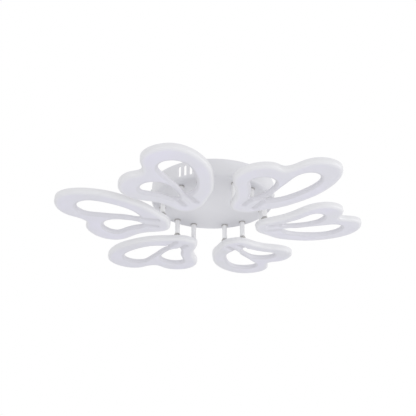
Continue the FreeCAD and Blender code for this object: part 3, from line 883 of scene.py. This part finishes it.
def cupSurface():
    radius, edge, foot = swivel["cupRadius"], swivel["cupEdge"], swivel["cupFoot"]
    (low, high), flange = swivel["flange"], swivel["flangeRadius"]
    profile = [(rod["bore"], foot), (radius - edge, foot), (radius, foot + edge)]
    profile += [(radius, low), (flange, low), (flange, high), (radius, high)]
    profile += [(radius, -edge), (radius - edge, 0)]
    profile += arcProfile(swivel["room"], rod["bore"], swivel["room"], True, False)[::-1]
    return turned(profile, swivel["cupColumns"])


def makeSwivels():
    halves = (cupSurface(), capSurface())
    for body in petals:
        axes = petalAxes(body)[1]
        pair = [placed(half, centre, axes) for centre in ballCentres(body) for half in halves]
        replaced = [body + "_swivel_sockets"]
        makePiece(body + "_swivels", pair, body, "satinNickel", replaced)


makeSwivels()
print("swivels ready")


# Pan-head screws with a cross recess: five hold each back plate, two hold the canopy to its bracket
plateScrew = {
    "head": (2.5, 1.6),  # radius and height
    "shaft": (1.25, 7.0),  # radius and length
    "pitch": 0.9,
    "cross": (1.5, 0.36, 0.8),  # reach, half width and depth of the recess
    "seat": -2.2,  # height on the petal
}
canopyScrew = {
    "head": (4.0, 2.6),
    "shaft": (2.0, 14.0),
    "pitch": 1.4,
    "cross": (2.4, 0.6, 1.3),
    "seat": 125.0,  # distance from the lamp's axis
    "height": -12.0,
}
screwForm = {
    "wallShare": 0.35,  # of the head's height, below its dome
    "threadShare": 0.16,  # of the shaft's radius
    "threadEnd": -0.4,
    "crossSoft": (0.2, 0.3),  # softened sides and ends of the recess
    "headEdge": 0.1,
    "domeRows": 12,
    "flatRows": 4,  # of the dome's, given up for the crown
    "crownRows": 14,
    "columns": 48,
}


def screwSurface(screw):
    # A domed head above the seat at height 0, and a threaded shaft with a conical end below it
    headRadius, headHeight = screw["head"]
    radius, length = screw["shaft"]
    reach, half, depth = screw["cross"]
    wall, edge = headHeight * screwForm["wallShare"], screwForm["headEdge"]
    sideSoft, endSoft = screwForm["crossSoft"]
    turn = np.linspace(0, np.pi / 2, screwForm["domeRows"])
    dome = np.column_stack([headRadius * np.cos(turn), wall + (headHeight - wall) * np.sin(turn)])
    rim, crownHeight = dome[-screwForm["flatRows"]]
    crown = [(away, crownHeight) for away in np.linspace(rim, 0, screwForm["crownRows"])]
    point = -length + radius
    rows = np.arange(point, 0, screw["pitch"] / threadRows).tolist()
    profile = [(0, -length)] + [(radius, height) for height in rows] + [(radius, 0)]
    profile += [(headRadius - edge, 0), (headRadius, edge)]
    profile += dome[:-screwForm["flatRows"]].tolist() + crown
    cut = screwForm["threadShare"] * radius
    thread = threaded(point, screwForm["threadEnd"], screw["pitch"], cut, radius)

    def shape(spread, angle, height):
        narrow, level = thread(spread, angle, height)
        x, y = np.abs(spread * np.cos(angle)), np.abs(spread * np.sin(angle))
        within = np.clip((half + sideSoft / 2 - np.minimum(x, y)) / sideSoft, 0, 1)
        within *= np.clip((reach - np.maximum(x, y)) / endSoft, 0, 1)
        return np.where(height < 0, narrow, spread), level - depth * within * (height > wall)

    return turned(profile, screwForm["columns"], shape, closeRows=False)


def makeScrews():
    screw, seat = screwSurface(plateScrew), plateScrew["seat"]
    seated = [placed(screw, (x, y, seat)) for x, y in shadePosts["places"]]
    for body in petals:
        screws = [placed(surface, *petalAxes(body)) for surface in seated]
        replaced = [body + "_plate_screws"]
        makePiece(body + "_fixings", screws, body, "zincPlate", replaced)
    pair = []
    for side in (-1, 1):
        axes = [(0, side, 0), (0, 0, 1), (side, 0, 0)]
        place = (side * canopyScrew["seat"], 0, canopyScrew["height"])
        pair.append(placed(screwSurface(canopyScrew), place, axes))
    makePiece("side_screws", pair, "canopy_body", "zincPlate", ["canopy_screws"])


makeScrews()
print("screws ready")


# Nuts, washers and collars on the rods, and the small nuts on the canopy's studs
rodFixings = {
    "nut": {"flats": 14.0, "low": -35.8, "high": -31.8, "bore": 5.05},
    "washer": {"radius": 8.5, "low": -37.0, "high": -35.8, "bore": 5.2, "edge": 0.3},
    "collar": {"radius": 6.8, "low": -39.6, "high": -38.0, "bore": 5.05, "edge": 0.5},
}
studNut = {"flats": 5.5, "low": 0.0, "high": 2.4, "bore": 1.55}
studFeet = [(-50, 0, -34), (50, 0, -34), (-6, -75, -23), (6, -75, -23), (0, -57, -36)]
nutForm = {"coneStart": 0.95, "boreEdge": 0.12}  # shares of half the flats and of the bore


def nutSurface(flats, low, high, bore, columns=96):
    # Six sides cut down at both ends by a cone of 30 degrees, which curves the ends of the flats
    corner = flats / 2 / math.cos(math.pi / 6)
    edge = bore * nutForm["boreEdge"]
    start = flats / 2 * nutForm["coneStart"]
    fall = (corner - start) * math.tan(math.pi / 6)
    share = np.linspace(0, 1, edgeRows)
    outward = np.column_stack([start + share * (corner - start), share * fall])
    profile = [(bore, low + edge), (bore + edge, low)] + (outward + [0, low]).tolist()
    profile += (outward[::-1] * [1, -1] + [0, high]).tolist()
    profile += [(bore + edge, high), (bore, high - edge)]

    def shape(radius, angle, height):
        side = flats / 2 / np.cos(angle % (np.pi / 3) - np.pi / 6)
        return np.minimum(radius, side), height

    return turned(profile, columns, shape)


def ringSurface(radius, low, high, bore, edge, columns=64):
    # A flat ring with its rim rounded at both ends
    turn = np.linspace(0, np.pi / 2, edgeRows)
    lower = np.column_stack([np.sin(turn), -np.cos(turn)]) * edge + [radius - edge, low + edge]
    upper = lower[::-1] * [1, -1] + [0, low + high]
    return turned([(bore, low)] + lower.tolist() + upper.tolist() + [(bore, high)], columns)


def makeRodFixings():
    centres = [centre * (1, 1, 0) for body in petals for centre in ballCentres(body)]
    for kind, sizes in rodFixings.items():
        shape = nutSurface(**sizes) if kind == "nut" else ringSurface(**sizes)
        rings = [placed(shape, centre) for centre in centres]
        replaced = ["rod_%ss" % kind]
        makePiece("hanger_%ss" % kind, rings, "canopy_body", "satinNickel", replaced)
    small = [placed(nutSurface(**studNut), foot) for foot in studFeet]
    makePiece("floor_nuts", small, "canopy_body", "zincPlate", ["stud_nuts"])


makeRodFixings()
print("nuts, washers and collars ready")


# Driver lid: a moulded cover with a sunk ring of ribs, a plain middle and a lip into the case
driverLid = {
    "radius": 44.0,
    "foot": -15.0,
    "top": -13.0,
    "lip": (39.8, 41.8, -18.0),  # inner and outer radius, and its end
    "edge": 0.6,
    "sunk": (17.0, 38.5, 0.8),  # inner and outer radius, and depth
    "ribs": 30,
    "ribHalf": 0.7,
    "ribSoft": 0.4,
    "ribTaper": 1.5,  # at both ends of a rib
    "ribShare": 0.8,  # of the depth
    "ribRows": 12,
    "columns": 360,
}


def lidSurface():
    # A rib rises in the sunk ring where its middle line is nearer than its half width
    lid = driverLid
    foot, top, edge = lid["foot"], lid["top"], lid["edge"]
    inner, outer, depth = lid["sunk"]
    lipIn, lipOut, lipEnd = lid["lip"]
    turn = np.linspace(0, np.pi / 2, edgeRows)
    rim = np.column_stack([np.cos(turn), np.sin(turn)]) * edge + [lid["radius"] - edge, top - edge]
    profile = [(0, foot), (lipIn, foot), (lipIn, lipEnd), (lipOut - edge / 2, lipEnd)]
    profile += [(lipOut, lipEnd + edge / 2), (lipOut, foot), (lid["radius"], foot)]
    profile += rim.tolist() + [(outer + depth, top)]
    profile += [(radius, top - depth) for radius in np.linspace(outer, inner, lid["ribRows"])]
    profile += [(inner - depth, top), (0, top)]

    def shape(radius, angle, height):
        pitch = 2 * np.pi / lid["ribs"]
        across = np.abs((angle + pitch / 2) % pitch - pitch / 2) * radius
        rib = np.clip((lid["ribHalf"] - across) / lid["ribSoft"] + 0.5, 0, 1)
        rib *= np.clip(np.minimum(radius - inner, outer - radius) / lid["ribTaper"], 0, 1)
        sunk = (height > foot) & (height < top - depth / 2) & (radius < outer + depth / 2)
        return radius, height + np.where(sunk, depth * lid["ribShare"] * rib, 0)

    return turned(profile, lid["columns"], shape, closeRows=False)


def makeDriverLid():
    replaced = ["driver_lid"]
    makePiece("driver_cover", [lidSurface()], "canopy_body", "caseShell", replaced)


makeDriverLid()
print("driver lid ready")
